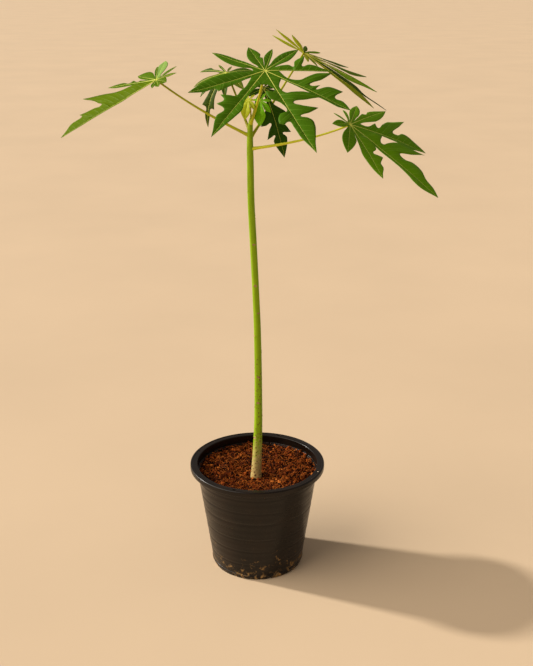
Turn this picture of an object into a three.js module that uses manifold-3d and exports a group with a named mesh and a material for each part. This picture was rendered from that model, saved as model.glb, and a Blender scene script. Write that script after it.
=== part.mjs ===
// A young papaya tree in a round nursery pot. Millimetres, +Z up, origin at the centre of the pot's
// underside. -Y is the side that the widest leaf faces.
import * as THREE from "three";
import { mergeVertices } from "three/addons/utils/BufferGeometryUtils.js";
import Module from "manifold-3d";

const wasm = await Module();
wasm.setup();

// Pot
const potHeight = 162;
const rimRadius = 99.6;
const rimWidth = 10.6;
const rimBead = 2.4;
const skirtDepth = 8;
const baseRadius = 67.5;
const bodyTopRadius = 90.8;
const wall = 2;
const floorThickness = 3;
const ledgeDepth = 13;
const ledgeStep = 1.4;
const footHeight = 7;
const footStep = 0.8;
const collarHeight = 151;
const collarStep = 1;
const potSides = 56;
const hangerHoles = 4;
const hangerAngle = -110;
const hangerSize = [2.6, 4.5, 8];
const drainHoles = 8;
const drainAngle = -75;
const drainRadius = 3.4;
const drainDepth = 14;

// Soil
const soilLevel = 142;
const soilRise = 5.6;
const soilLump = 1.4;
const soilWaves = [[0.13, 0.11, 1], [0.31, -0.23, 0.6], [0.52, 0.47, 0.4]];
const seatRadius = 18;
const soilTopRadius = 84.6;
const soilFootRadius = 64.9;
const soilRings = 11;
const soilSides = 40;

// Stem and leaf stalks
const gap = 0.3;
const stemSides = 14;
const stalkSides = 8;
const stalkSteps = 9;
const taperEnd = 0.7;
const cutterSize = 12;

// Leaves
const bladeThickness = 2.4;
const youngThickness = 1;
const throatShare = 0.2;
const veinAngle = 60;
const lobeClearance = 1.4;
const widestClearance = 3;
const ribStops = [0.12, 0.3, 0.5, 0.7, 0.88];
const ribBow = 0.002;

const radians = THREE.MathUtils.degToRad;
const degrees = THREE.MathUtils.radToDeg;
const point = (x, y, z) => new THREE.Vector3(x, y, z);

// The stem: height above the pot's underside, centre across and in depth, radius
const stemFoot = { z: soilLevel + gap, x: -1.8, y: -11 };
const stemRings = [
  [stemFoot.z, stemFoot.x, stemFoot.y, 8.4],
  [150, -1.4, -11, 7.6],
  [183, 0.3, -11, 6.9],
  [244, 1.9, -10.5, 6],
  [364, 1, -10, 5],
  [434, -1.4, -10, 4.8],
  [503, -4.6, -10.5, 4.8],
  [558, -7.2, -10.5, 4.7],
  [606, -7.8, -10.5, 4.5],
  [628, -8.1, -10.5, 4.3],
  [650, -7.9, -10.5, 3.7],
  [663, -7, -10.5, 2.8],
  [669, -6.6, -10.5, 1.3],
];

// A half lobe's outer edge from its throat to its tip, as shares of the lobe's length along and out from
// its rib. reach is the part of the gap to the next lobe that it takes, against that lobe's reach.
const edges = {
  plain: { reach: 7, line: [[0.25, 0.04], [0.5, 0.05], [0.75, 0.05], [0.9, 0.03]] },
  sliver: { reach: 3, line: [[0.3, 0.012], [0.6, 0.016], [0.88, 0.01]] },
  serrate: {
    reach: 8,
    line: [[0.2, 0.035], [0.34, 0.065], [0.37, 0.03], [0.5, 0.07], [0.54, 0.03], [0.7, 0.05], [0.88, 0.035]],
  },
  filled: { reach: 8, line: [[0.2, 0.045], [0.5, 0.085], [0.75, 0.09], [0.9, 0.045]] },
  lateBroad: { reach: 4, line: [[0.25, 0.03], [0.5, 0.035], [0.68, 0.05], [0.79, 0.08], [0.9, 0.05]] },
  tailed: {
    reach: 14,
    line: [[0.25, 0.06], [0.45, 0.085], [0.6, 0.07], [0.68, 0.035], [0.76, 0.012], [0.9, 0.01]],
  },
  midBroad: {
    reach: 12,
    line: [[0.3, 0.035], [0.48, 0.045], [0.57, 0.08], [0.7, 0.065], [0.82, 0.04], [0.93, 0.015]],
  },
  scalloped: {
    reach: 14,
    line: [[0.26, 0.065], [0.38, 0.11], [0.45, 0.1], [0.5, 0.065], [0.58, 0.095], [0.73, 0.08], [0.9, 0.03]],
  },
  broad: { reach: 18, line: [[0.2, 0.065], [0.38, 0.12], [0.6, 0.135], [0.8, 0.09], [0.93, 0.035]] },
  notched: {
    reach: 12,
    line: [[0.25, 0.06], [0.5, 0.085], [0.66, 0.135], [0.67, 0.055], [0.8, 0.05], [0.92, 0.025]],
  },
  knobbed: {
    reach: 24,
    line: [[0.15, 0.05], [0.25, 0.03], [0.23, 0.09], [0.32, 0.09], [0.39, 0.03], [0.5, 0.03], [0.51, 0.08],
      [0.55, 0.115], [0.6, 0.13], [0.63, 0.1], [0.61, 0.055], [0.68, 0.045], [0.8, 0.04], [0.92, 0.015]],
  },
  shortToothed: {
    reach: 30,
    line: [[0.3, 0.05], [0.36, 0.06], [0.43, 0.06], [0.51, 0.19], [0.55, 0.13], [0.63, 0.16], [0.65, 0.07],
      [0.76, 0.085], [0.82, 0.07], [0.93, 0.025]],
  },
  midToothed: {
    reach: 20,
    line: [[0.25, 0.12], [0.4, 0.22], [0.5, 0.2], [0.55, 0.1], [0.65, 0.24], [0.7, 0.18], [0.75, 0.12],
      [0.83, 0.12], [0.92, 0.05]],
  },
  toothed: {
    reach: 34,
    line: [[0.19, 0.12], [0.26, 0.15], [0.31, 0.06], [0.37, 0.19], [0.43, 0.28], [0.52, 0.34], [0.62, 0.375],
      [0.56, 0.24], [0.5, 0.1], [0.56, 0.095], [0.61, 0.13], [0.73, 0.13], [0.8, 0.085], [0.91, 0.055]],
  },
  longToothed: {
    reach: 34,
    line: [[0.2, 0.05], [0.32, 0.15], [0.345, 0.09], [0.42, 0.18], [0.49, 0.26], [0.58, 0.31], [0.74, 0.41],
      [0.665, 0.285], [0.57, 0.09], [0.61, 0.09], [0.68, 0.15], [0.74, 0.15], [0.83, 0.1], [0.93, 0.045]],
  },
  horned: {
    reach: 34,
    line: [[0.27, 0.1], [0.36, 0.1], [0.41, 0.065], [0.43, 0.16], [0.59, 0.31], [0.57, 0.19], [0.55, 0.075],
      [0.63, 0.11], [0.72, 0.1], [0.85, 0.045]],
  },
  farToothed: {
    reach: 34,
    line: [[0.2, 0.13], [0.39, 0.2], [0.54, 0.31], [0.78, 0.485], [0.61, 0.23], [0.57, 0.12], [0.64, 0.155],
      [0.74, 0.17], [0.8, 0.19], [0.77, 0.135], [0.88, 0.11], [0.94, 0.05]],
  },
  twiceToothed: {
    reach: 30,
    line: [[0.22, 0.03], [0.29, 0.045], [0.345, 0.18], [0.45, 0.29], [0.43, 0.17], [0.43, 0.06], [0.48, 0.11],
      [0.55, 0.21], [0.575, 0.13], [0.59, 0.05], [0.62, 0.09], [0.66, 0.115], [0.72, 0.11], [0.8, 0.08],
      [0.9, 0.035]],
  },
  evenToothed: {
    reach: 34,
    line: [[0.24, 0.055], [0.31, 0.12], [0.39, 0.21], [0.49, 0.27], [0.5, 0.18], [0.49, 0.085], [0.57, 0.15],
      [0.69, 0.22], [0.67, 0.13], [0.66, 0.07], [0.73, 0.12], [0.81, 0.105], [0.91, 0.055]],
  },
  lateToothed: {
    reach: 34,
    line: [[0.25, 0.03], [0.36, 0.07], [0.46, 0.25], [0.58, 0.35], [0.55, 0.2], [0.5, 0.06], [0.58, 0.11],
      [0.57, 0.055], [0.66, 0.14], [0.81, 0.17], [0.79, 0.055], [0.87, 0.06], [0.95, 0.03]],
  },
};

// A lobe: angle round the hub from the leaf's facing, length, how far its rib bends down to the tip,
// the edges on its clockwise and anticlockwise sides, and how far those stand out.
const lobe = (angle, length, bend, right, left, spread = 1) => ({
  angle, length, bend, spread, edges: { "-1": edges[right], 1: edges[left] },
});

// A leaf: hub, the compass angle it faces (0 is +X, 90 is +Y), the slope down that way, the roll that lifts
// its left side, the fold of each lobe at its rib, its stalk, and its lobes. A stalk leaves the stem at
// height z, tapers from its base radius to its tip radius, and bows out below the leaf.
const leaves = [
  {
    name: "front", hub: [12, -50, 731], facing: -90, slope: 35, roll: 0, fold: 0,
    thickness: bladeThickness, stalk: { z: 658, base: 2, tip: 1.5, bow: 0.4 },
    lobes: [
      lobe(22, 161, -3, "knobbed", "twiceToothed"), lobe(57, 124, 4, "lateBroad", "lateToothed"),
      lobe(92, 86, 5, "sliver", "horned"), lobe(135, 60, 4, "broad", "broad", 0.95),
      lobe(168, 44, 3, "plain", "broad", 1.1), lobe(205, 51, 3, "scalloped", "broad", 1.5),
      lobe(244, 75, -2, "plain", "broad"), lobe(296, 105, -5, "broad", "notched"),
      lobe(331, 132, 2, "shortToothed", "midBroad"),
    ],
  },
  {
    name: "right", hub: [121, -40, 663], facing: -30, slope: 32, roll: 13, fold: 0,
    thickness: bladeThickness, stalk: { z: 627, base: 2.1, tip: 1.3, bow: 0.3 },
    lobes: [
      lobe(2, 148, 6, "lateBroad", "toothed"), lobe(40, 114, 11, "filled", "longToothed"),
      lobe(85, 82, 5, "broad", "scalloped"), lobe(113, 61, 15, "broad", "broad", 0.8),
      lobe(137, 38, 20, "plain", "plain"), lobe(177, 28, 11, "plain", "plain"),
      lobe(233, 25, 10, "broad", "broad", 2), lobe(304, 54, 10, "broad", "broad", 1.3),
      lobe(334, 96, 4, "broad", "midToothed", 0.75),
    ],
  },
  {
    name: "left", hub: [-130, 0, 715], facing: 180, slope: 32, roll: -20, fold: 0,
    thickness: bladeThickness, stalk: { z: 644, base: 2.1, tip: 1.3, bow: 0.4 },
    lobes: [
      lobe(-5.5, 154, 0, "farToothed", "sliver", 0.98), lobe(-45, 101, 0, "serrate", "plain", 0.8),
      lobe(-62, 53, 0, "broad", "plain", 1.4), lobe(-99, 37, 0, "plain", "plain", 1.6),
      lobe(-117, 42, 0, "broad", "broad", 1.9), lobe(-178, 32, 0, "broad", "broad", 0.7),
      lobe(149, 34, 0, "broad", "broad", 0.7), lobe(117, 28, 0, "broad", "broad", 1.8),
      lobe(92, 23, 0, "broad", "broad", 1.8), lobe(62, 18, 0, "broad", "broad", 1.8),
    ],
  },
  {
    name: "upper", hub: [65, 70, 744.5], facing: 8, slope: 34, roll: -14, fold: 0,
    thickness: bladeThickness, stalk: { z: 640, base: 2.1, tip: 1.3, bow: 0.4 },
    lobes: [
      lobe(1, 143, 0, "tailed", "plain", 0.8), lobe(12, 136, 0, "broad", "sliver", 0.8),
      lobe(-24, 114, 0, "sliver", "broad", 1.3), lobe(-38, 98, -4, "sliver", "broad", 1.2),
      lobe(-50, 77, -1, "sliver", "broad"), lobe(-76, 44, 1, "plain", "plain"),
      lobe(-105, 30, 0, "broad", "broad", 0.8), lobe(-139, 42, -5, "broad", "broad", 0.9),
      lobe(-179, 49, -8, "broad", "broad", 0.8), lobe(142, 56, -8, "broad", "broad", 0.7),
      lobe(58, 32, 0, "broad", "broad", 0.8), lobe(32, 36, 0, "broad", "broad", 0.7),
    ],
  },
  {
    name: "behind", hub: [-39, 30, 721], facing: 215, slope: 35, roll: -10, fold: 5,
    thickness: bladeThickness, stalk: { z: 648, base: 1.9, tip: 1.3, bow: 0.5 },
    lobes: [
      lobe(1, 80, 68, "notched", "notched"), lobe(-27, 49, 32, "broad", "broad", 0.8),
      lobe(-57, 58, 25, "plain", "plain", 0.9), lobe(-85, 62, 20, "midBroad", "plain", 0.8),
      lobe(-107, 30, 5, "plain", "plain"), lobe(-158, 15, 12, "broad", "broad"),
      lobe(34, 38, 45, "broad", "broad"), lobe(78, 42, 30, "broad", "broad"),
      lobe(128, 36, 20, "broad", "broad"),
    ],
  },
  {
    name: "lower", hub: [10, 14, 703], facing: -66, slope: 67, roll: -5, fold: 5,
    thickness: 1.6, stalk: { z: 655, base: 1.6, tip: 1.1, bow: 1 },
    lobes: [
      lobe(14, 95, 18, "evenToothed", "evenToothed", 1), lobe(62, 46, 24, "broad", "broad", 1.1),
      lobe(-30, 38, 5, "broad", "broad"), lobe(100, 22, 20, "broad", "broad"),
      lobe(-70, 28, 15, "broad", "broad"), lobe(140, 14, 10, "broad", "broad"),
      lobe(-115, 16, 10, "broad", "broad"),
    ],
  },
  {
    name: "young_left", hub: [-9, -18, 692], facing: 235, slope: 60, roll: 0, fold: 8,
    thickness: youngThickness, stalk: { z: 664, base: 1.1, tip: 0.8, bow: 0.4 },
    lobes: [
      lobe(0, 27, 20, "broad", "broad", 2), lobe(45, 17, 20, "broad", "broad", 1.5),
      lobe(-42, 29, 15, "broad", "broad", 1.4), lobe(88, 9, 15, "broad", "broad", 1.2),
      lobe(-88, 15, 15, "broad", "broad", 1.4), lobe(140, 10, 10, "broad", "broad", 1.2),
      lobe(-138, 12, 10, "broad", "broad", 1.2),
    ],
  },
  {
    name: "young_right", hub: [6, -9, 690], facing: -110, slope: 68, roll: 0, fold: 8,
    thickness: youngThickness, stalk: { z: 661, base: 1.1, tip: 0.8, bow: 1.2 },
    lobes: [
      lobe(4, 34, 15, "broad", "broad", 1.8), lobe(46, 22, 15, "broad", "broad", 1.3),
      lobe(-40, 16, 15, "broad", "broad", 1.2), lobe(92, 15, 15, "broad", "broad"),
      lobe(-92, 12, 15, "broad", "broad"), lobe(150, 12, 10, "broad", "broad"),
    ],
  },
];

const finishes = {
  pot: { color: 0x241c18, roughness: 0.45 },
  soil: { color: 0x6b3216, roughness: 0.95 },
  stem: { color: 0x6f9a22, roughness: 0.55 },
  stalk: { color: 0xa3ad1c, roughness: 0.5 },
  leaf: { color: 0x3d7a16, roughness: 0.5 },
  youngLeaf: { color: 0x8fae1e, roughness: 0.5 },
};

function namedMesh(name, geometry, finish) {
  const material = new THREE.MeshStandardMaterial({ ...finishes[finish], metalness: 0 });
  const mesh = new THREE.Mesh(geometry, material);
  mesh.name = name;
  return mesh;
}

// A closed geometry from points and triangles
function solidFrom(points, triangles) {
  const geometry = new THREE.BufferGeometry();
  const numbers = points.flatMap((p) => [p.x, p.y, p.z]);
  geometry.setAttribute("position", new THREE.Float32BufferAttribute(numbers, 3));
  geometry.setIndex(triangles.flat());
  return geometry;
}

function toManifold(geometry) {
  const bare = geometry.clone();
  bare.deleteAttribute("normal");
  bare.deleteAttribute("uv");
  const merged = mergeVertices(bare, 1e-4);
  return new wasm.Manifold(new wasm.Mesh({
    numProp: 3,
    vertProperties: merged.attributes.position.array,
    triVerts: Uint32Array.from(merged.index.array),
  }));
}

function fromManifold(solid) {
  const mesh = solid.getMesh();
  const geometry = new THREE.BufferGeometry();
  geometry.setAttribute("position", new THREE.BufferAttribute(mesh.vertProperties, 3));
  geometry.setIndex(new THREE.BufferAttribute(mesh.triVerts, 1));
  return geometry;
}

// The nursery pot: wall, rim and floor.

const bodyRadius = (z) => baseRadius + (bodyTopRadius - baseRadius) * z / potHeight;

function placed(geometry, angle, radius, z) {
  return geometry.rotateZ(angle).translate(radius * Math.cos(angle), radius * Math.sin(angle), z);
}

function potGeometry() {
  const ledge = potHeight - ledgeDepth;
  const skirt = potHeight - skirtDepth;
  const flangeInner = rimRadius - rimWidth;
  const outline = [
    [0, 0], [baseRadius - 1, 0], [baseRadius, 1],
    [bodyRadius(footHeight - 1) + footStep, footHeight - 1], [bodyRadius(footHeight), footHeight],
    [bodyRadius(collarHeight), collarHeight], [bodyRadius(collarHeight) + collarStep, collarHeight + 1],
    [bodyRadius(potHeight) + collarStep, potHeight - wall - 0.5],
    [rimRadius - wall - 0.8, potHeight - wall], [rimRadius - wall - 0.8, skirt],
    [rimRadius - 0.6, skirt], [rimRadius, skirt + 1.5], [rimRadius, potHeight - rimBead],
    [rimRadius - rimBead * 0.3, potHeight - rimBead * 0.3], [rimRadius - rimBead, potHeight],
    [flangeInner + 0.8, potHeight - 0.3], [flangeInner, potHeight - 1], [flangeInner, ledge + 1],
    [bodyRadius(ledge) - wall, ledge], [bodyRadius(ledge) - wall - ledgeStep, ledge - 1.5],
    [baseRadius - wall, floorThickness], [0, floorThickness],
  ].map(([r, z]) => new THREE.Vector2(r, z));
  let pot = toManifold(new THREE.LatheGeometry(outline, potSides).rotateX(Math.PI / 2));
  for (let i = 0; i < hangerHoles; i += 1) {
    const angle = radians(hangerAngle + 360 / hangerHoles * i);
    const hole = new THREE.BoxGeometry(...hangerSize);
    pot = pot.subtract(toManifold(placed(hole, angle, rimRadius - rimWidth / 2, potHeight)));
  }
  for (let i = 0; i < drainHoles; i += 1) {
    const angle = radians(drainAngle + 360 / drainHoles * i);
    const hole = new THREE.CylinderGeometry(drainRadius, drainRadius, drainDepth, 10).rotateZ(Math.PI / 2);
    pot = pot.subtract(toManifold(placed(hole, angle, baseRadius - 1, drainRadius / 4)));
  }
  return fromManifold(pot);
}

// The filling of coir.

// The surface dips to a flat seat at the stem and is lumpy round it
function soilHeight(x, y) {
  const fromStem = Math.hypot(x - stemFoot.x, y - stemFoot.y);
  const waves = soilWaves.map(([across, deep, size]) => size * Math.sin(x * across + y * deep));
  const wave = waves.reduce((sum, height) => sum + height, 0);
  const away = THREE.MathUtils.smoothstep(fromStem, seatRadius, seatRadius * 3);
  return soilLevel + away * (soilRise + soilLump * wave);
}

function ringPoint(side, radius) {
  const angle = 2 * Math.PI * side / soilSides;
  return point(radius * Math.cos(angle), radius * Math.sin(angle), floorThickness + gap);
}

function soilGeometry() {
  const points = [point(0, 0, soilHeight(0, 0))];
  for (let ring = 1; ring <= soilRings; ring += 1) {
    for (let side = 0; side < soilSides; side += 1) {
      const place = ringPoint(side, soilTopRadius * ring / soilRings);
      points.push(point(place.x, place.y, soilHeight(place.x, place.y)));
    }
  }
  for (let side = 0; side < soilSides; side += 1) {
    points.push(ringPoint(side, soilFootRadius));
  }
  points.push(point(0, 0, floorThickness + gap));
  const triangles = [];
  for (let side = 0; side < soilSides; side += 1) {
    const next = (side + 1) % soilSides;
    triangles.push([0, 1 + side, 1 + next]);
    for (let ring = 0; ring < soilRings; ring += 1) {
      const a = 1 + ring * soilSides;
      triangles.push([a + side, a + soilSides + side, a + soilSides + next]);
      triangles.push([a + side, a + soilSides + next, a + next]);
    }
    const low = 1 + soilRings * soilSides;
    triangles.push([points.length - 1, low + next, low + side]);
  }
  return solidFrom(points, triangles);
}

// Stem and stalks share one way of being swept.

// Closes rings of points, each ring anticlockwise seen from past the last one, into one solid
function joinRings(rings) {
  const sides = rings[0].length;
  const last = (rings.length - 1) * sides;
  const triangles = [];
  for (let side = 0; side < sides; side += 1) {
    const next = (side + 1) % sides;
    for (let ring = 0; ring < last; ring += sides) {
      triangles.push([ring + side, ring + next, ring + sides + next]);
      triangles.push([ring + side, ring + sides + next, ring + sides + side]);
    }
    if (side > 1) {
      triangles.push([0, side, side - 1], [last, last + side - 1, last + side]);
    }
  }
  return solidFrom(rings.flat(), triangles);
}

function circle(centre, across, up, radius, sides) {
  return Array.from({ length: sides }, (_, side) => {
    const angle = 2 * Math.PI * side / sides;
    const place = centre.clone().addScaledVector(across, radius * Math.cos(angle));
    return place.addScaledVector(up, radius * Math.sin(angle));
  });
}

function limb(curve, radiusAt) {
  const frames = curve.computeFrenetFrames(stalkSteps, false);
  return joinRings(frames.normals.map((across, step) => {
    const share = step / stalkSteps;
    return circle(curve.getPointAt(share), across, frames.binormals[step], radiusAt(share), stalkSides);
  }));
}

// The stem, or with extra a little more than it, to cut the stalks' feet clear of it
function stemGeometry(extra = 0) {
  const outside = extra > 0 ? Math.cos(Math.PI / stemSides) : 1;
  return joinRings(stemRings.map(([z, x, y, radius]) => {
    const height = z > stemFoot.z ? z + extra : z;
    return circle(point(x, y, height), point(1, 0, 0), point(0, 1, 0), (radius + extra) / outside, stemSides);
  }));
}

function stemCentre(z) {
  const above = Math.max(1, stemRings.findIndex((ring) => ring[0] >= z));
  const [z0, x0, y0] = stemRings[above - 1];
  const [z1, x1, y1] = stemRings[above];
  const share = (z - z0) / (z1 - z0);
  return point(x0 + (x1 - x0) * share, y0 + (y1 - y0) * share, z);
}

// The leaf's own axes: out along its facing, to its left, and out of its upper face
function leafAxes({ facing, slope, roll }) {
  const turn = new THREE.Matrix4().makeRotationZ(radians(facing))
    .multiply(new THREE.Matrix4().makeRotationY(radians(slope)))
    .multiply(new THREE.Matrix4().makeRotationX(radians(roll)));
  const out = point(0, 0, 0);
  const left = point(0, 0, 0);
  const face = point(0, 0, 0);
  turn.extractBasis(out, left, face);
  return { out, left, face };
}

function stalkGeometry(leaf) {
  const { face } = leafAxes(leaf);
  const foot = stemCentre(leaf.stalk.z);
  const hub = point(...leaf.hub).addScaledVector(face, -leaf.thickness / 2);
  const reach = foot.distanceTo(hub);
  const chord = hub.clone().sub(foot).normalize();
  const { base, tip, bow } = leaf.stalk;
  const rise = chord.clone().addScaledVector(face, -bow / 2).normalize();
  const arrival = chord.clone().addScaledVector(face, bow).normalize();
  const curve = new THREE.CubicBezierCurve3(
    foot,
    foot.clone().addScaledVector(rise, reach / 3),
    hub.clone().addScaledVector(arrival, -reach / 3),
    hub.clone().addScaledVector(arrival, 1),
  );
  const whole = limb(curve, (share) => base + (tip - base) * Math.min(1, share / taperEnd));
  const cutter = new THREE.BoxGeometry(cutterSize, cutterSize, cutterSize);
  cutter.translate(0, 0, cutterSize / 2 - gap);
  cutter.lookAt(face);
  cutter.translate(hub.x, hub.y, hub.z);
  return fromManifold(toManifold(whole).subtract(toManifold(stemGeometry(gap))).subtract(toManifold(cutter)));
}

// The blades.

// The half of a lobe on one side: the next lobe, the gap to it, and where the two meet at the throat
function halfLobe(leaf, index, side) {
  const own = leaf.lobes[index];
  const other = leaf.lobes[(index + side + leaf.lobes.length) % leaf.lobes.length];
  const between = ((other.angle - own.angle) * side % 360 + 360) % 360;
  const ownReach = own.edges[side].reach * own.spread;
  const otherReach = other.edges[-side].reach * other.spread;
  const limit = between * ownReach / (ownReach + otherReach);
  return { own, other, side, between, limit, throat: throatShare * Math.min(own.length, other.length) };
}

// A flat place on a half lobe, x along its rib and y out from it, kept clear of the next lobe
function clearOf({ limit, throat }, x, y) {
  const r = Math.hypot(x, y);
  let away = degrees(Math.atan2(y, x));
  if (r > throat * 1.01) {
    away = Math.min(away, limit - Math.min(widestClearance, degrees(lobeClearance / r), limit / 2));
  }
  return { r, away, flat: new THREE.Vector2(r * Math.cos(radians(away)), r * Math.sin(radians(away))) };
}

// The same place on the bent blade, with the blade's normal there
function onBlade(leaf, axes, half, x, y) {
  const { own, other, side, between, limit } = half;
  const { r, away } = clearOf(half, x, y);
  const share = Math.min(1, away / limit);
  const ownBend = own.bend / own.length;
  const bend = radians(ownBend + share * (other.bend / other.length - ownBend) / 2);
  const turned = bend * r;
  const along = Math.abs(bend) < 1e-9 ? r : Math.sin(turned) / bend;
  const drop = Math.abs(bend) < 1e-9 ? 0 : (1 - Math.cos(turned)) / bend;
  const lift = Math.tan(radians(leaf.fold)) * r * Math.sin(radians(between / 2)) * share;
  const angle = radians(own.angle + side * away);
  const ray = axes.out.clone().multiplyScalar(Math.cos(angle)).addScaledVector(axes.left, Math.sin(angle));
  return {
    place: point(...leaf.hub).addScaledVector(ray, along).addScaledVector(axes.face, lift - drop),
    normal: axes.face.clone().multiplyScalar(Math.cos(turned)).addScaledVector(ray, Math.sin(turned)),
  };
}

// Flat places of a half lobe's edge, from the throat to the last one before the tip
function edgePlaces({ own, side, limit, throat }) {
  const slant = 1 / Math.tan(radians(veinAngle));
  const x = throat * Math.cos(radians(limit));
  const y = throat * Math.sin(radians(limit));
  const places = [{ x, y }];
  for (const [alongShare, outShare] of own.edges[side].line) {
    const next = { x: alongShare * own.length, y: outShare * own.length * own.spread };
    if (next.x > x && next.x - next.y * slant > x - y * slant) {
      places.push(next);
    }
  }
  return places;
}

// Triangles that fill a half lobe inside its flat corners. Each side that two of them share is the better
// of the two diagonals, so the blade bends evenly and never folds over itself.
function fill(corners, side) {
  const flat = corners.map((corner) => corner.flat);
  const faces = THREE.ShapeUtils.triangulateShape(flat, []);
  const angle = (at, a, b) => {
    const toA = flat[a].clone().sub(flat[at]);
    const toB = flat[b].clone().sub(flat[at]);
    return Math.abs(Math.atan2(toA.cross(toB), toA.dot(toB)));
  };
  const improve = () => faces.some((one, i) => faces.slice(i + 1).some((two) => {
    const [p, q] = one.filter((corner) => two.includes(corner));
    if (q === undefined) {
      return false;
    }
    const a = one.find((corner) => corner !== p && corner !== q);
    const b = two.find((corner) => corner !== p && corner !== q);
    if (angle(a, p, q) + angle(b, p, q) < Math.PI + 1e-6) {
      return false;
    }
    one.splice(0, 3, a, b, p);
    two.splice(0, 3, a, b, q);
    return true;
  }));
  for (let round = 0; round < 200 && improve(); round += 1);
  return faces.map((face) => {
    const turned = THREE.ShapeUtils.area(face.map((corner) => flat[corner])) * side < 0;
    const ids = face.map((corner) => corners[corner].id);
    return turned ? ids.reverse() : ids;
  });
}

function leafGeometry(leaf) {
  const axes = leafAxes(leaf);
  leaf.lobes.sort((a, b) => a.angle - b.angle);
  const surface = [];
  const add = (half, x, y) => surface.push(onBlade(leaf, axes, half, x, y)) - 1;
  const hub = add(halfLobe(leaf, 0, 1), 0, 0);
  const throats = leaf.lobes.map((_, index) => {
    const half = halfLobe(leaf, index, 1);
    const limit = radians(half.limit);
    return add(half, half.throat * Math.cos(limit), half.throat * Math.sin(limit));
  });
  const triangles = [];
  const outline = [];
  leaf.lobes.forEach((own, index) => {
    const halves = [-1, 1].map((side) => halfLobe(leaf, index, side));
    const tip = add(halves[0], own.length, 0);
    const stops = ribStops.map((share) => ({ id: add(halves[0], share * own.length, 0), share }));
    const edges = halves.map((half) => {
      const [throat, ...places] = edgePlaces(half);
      const first = half.side > 0 ? throats[index] : throats[(index + throats.length - 1) % throats.length];
      const edge = [
        { id: first, flat: clearOf(half, throat.x, throat.y).flat },
        ...places.map(({ x, y }) => ({ id: add(half, x, y), flat: clearOf(half, x, y).flat })),
      ];
      // The rib is drawn a hair inwards, so that no triangle has all its corners on it
      const rib = stops.map(({ id, share }) => (
        { id, flat: new THREE.Vector2(share * own.length, ribBow * share * (1 - share) * own.length) }
      ));
      const ends = [{ id: hub, flat: new THREE.Vector2() }, { id: tip, flat: new THREE.Vector2(own.length, 0) }];
      triangles.push(...fill([ends[0], ...rib, ends[1], ...edge.toReversed()], half.side));
      return edge.map(({ id }) => id);
    });
    outline.push(...edges[0], tip, ...edges[1].slice(1).reverse());
  });
  const half = leaf.thickness / 2;
  const count = surface.length;
  const points = [
    ...surface.map(({ place, normal }) => place.clone().addScaledVector(normal, half)),
    ...surface.map(({ place, normal }) => place.clone().addScaledVector(normal, -half)),
  ];
  const closed = [...triangles, ...triangles.map(([a, b, c]) => [a + count, c + count, b + count])];
  outline.forEach((a, i) => {
    const b = outline[(i + 1) % outline.length];
    closed.push([a, a + count, b + count], [a, b + count, b]);
  });
  return solidFrom(points, closed);
}

const papaya = new THREE.Group();
papaya.add(namedMesh("pot", potGeometry(), "pot"));
papaya.add(namedMesh("soil", soilGeometry(), "soil"));
papaya.add(namedMesh("stem", stemGeometry(), "stem"));
for (const leaf of leaves) {
  papaya.add(namedMesh(`stalk_${leaf.name}`, stalkGeometry(leaf), "stalk"));
  const young = leaf.thickness === youngThickness;
  papaya.add(namedMesh(`leaf_${leaf.name}`, leafGeometry(leaf), young ? "youngLeaf" : "leaf"));
}

export default papaya;
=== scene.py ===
# A young papaya tree in a black nursery pot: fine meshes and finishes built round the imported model.
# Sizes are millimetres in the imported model's frame, +Z up, and turn to metres where a mesh is made.
import math
import random
import bmesh
import bpy
from mathutils import Matrix, Vector, geometry, noise


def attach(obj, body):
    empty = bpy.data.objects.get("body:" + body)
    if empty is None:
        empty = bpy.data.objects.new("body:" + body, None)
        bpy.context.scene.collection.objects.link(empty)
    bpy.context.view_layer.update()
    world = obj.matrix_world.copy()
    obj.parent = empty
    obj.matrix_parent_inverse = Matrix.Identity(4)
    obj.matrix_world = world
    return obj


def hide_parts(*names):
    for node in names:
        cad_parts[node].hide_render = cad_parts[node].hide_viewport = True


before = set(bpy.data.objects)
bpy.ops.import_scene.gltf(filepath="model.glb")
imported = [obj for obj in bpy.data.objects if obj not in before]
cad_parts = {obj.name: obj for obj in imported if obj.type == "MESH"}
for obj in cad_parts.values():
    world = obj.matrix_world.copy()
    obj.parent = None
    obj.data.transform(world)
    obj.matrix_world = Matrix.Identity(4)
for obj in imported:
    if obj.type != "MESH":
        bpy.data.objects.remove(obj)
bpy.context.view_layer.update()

print("frame loaded,", len(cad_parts), "nodes")


# Helpers

def hexToLinear(colour):
    channels = [int(colour[i:i + 2], 16) / 255 for i in (1, 3, 5)]
    return [c / 12.92 if c <= 0.04045 else ((c + 0.055) / 1.055) ** 2.4 for c in channels] + [1.0]


def toned(tone, share):
    return [min(1, channel * share) for channel in tone[:3]] + [1.0]    # darker below 1, lighter above


def perMetre(size):
    return 1000 / size    # texture scale for features of this size in millimetres


def mix(a, b, share):
    return a + (b - a) * share


def smoothStep(value, low, high):
    share = min(1, max(0, (value - low) / (high - low)))
    return share * share * (3 - 2 * share)


def curveShares(s):
    # Shares of the start, its leaving slope, the end and its arriving slope, s of the way along a curve
    return 2 * s ** 3 - 3 * s ** 2 + 1, s ** 3 - 2 * s ** 2 + s, 3 * s ** 2 - 2 * s ** 3, s ** 3 - s ** 2


def turns(sides):
    return [2 * math.pi * k / sides for k in range(sides)]


def onCircle(r, turn):
    return r * math.cos(turn), r * math.sin(turn)


def shifted(faces, first):
    return [tuple(first + i for i in face) for face in faces]


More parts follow.
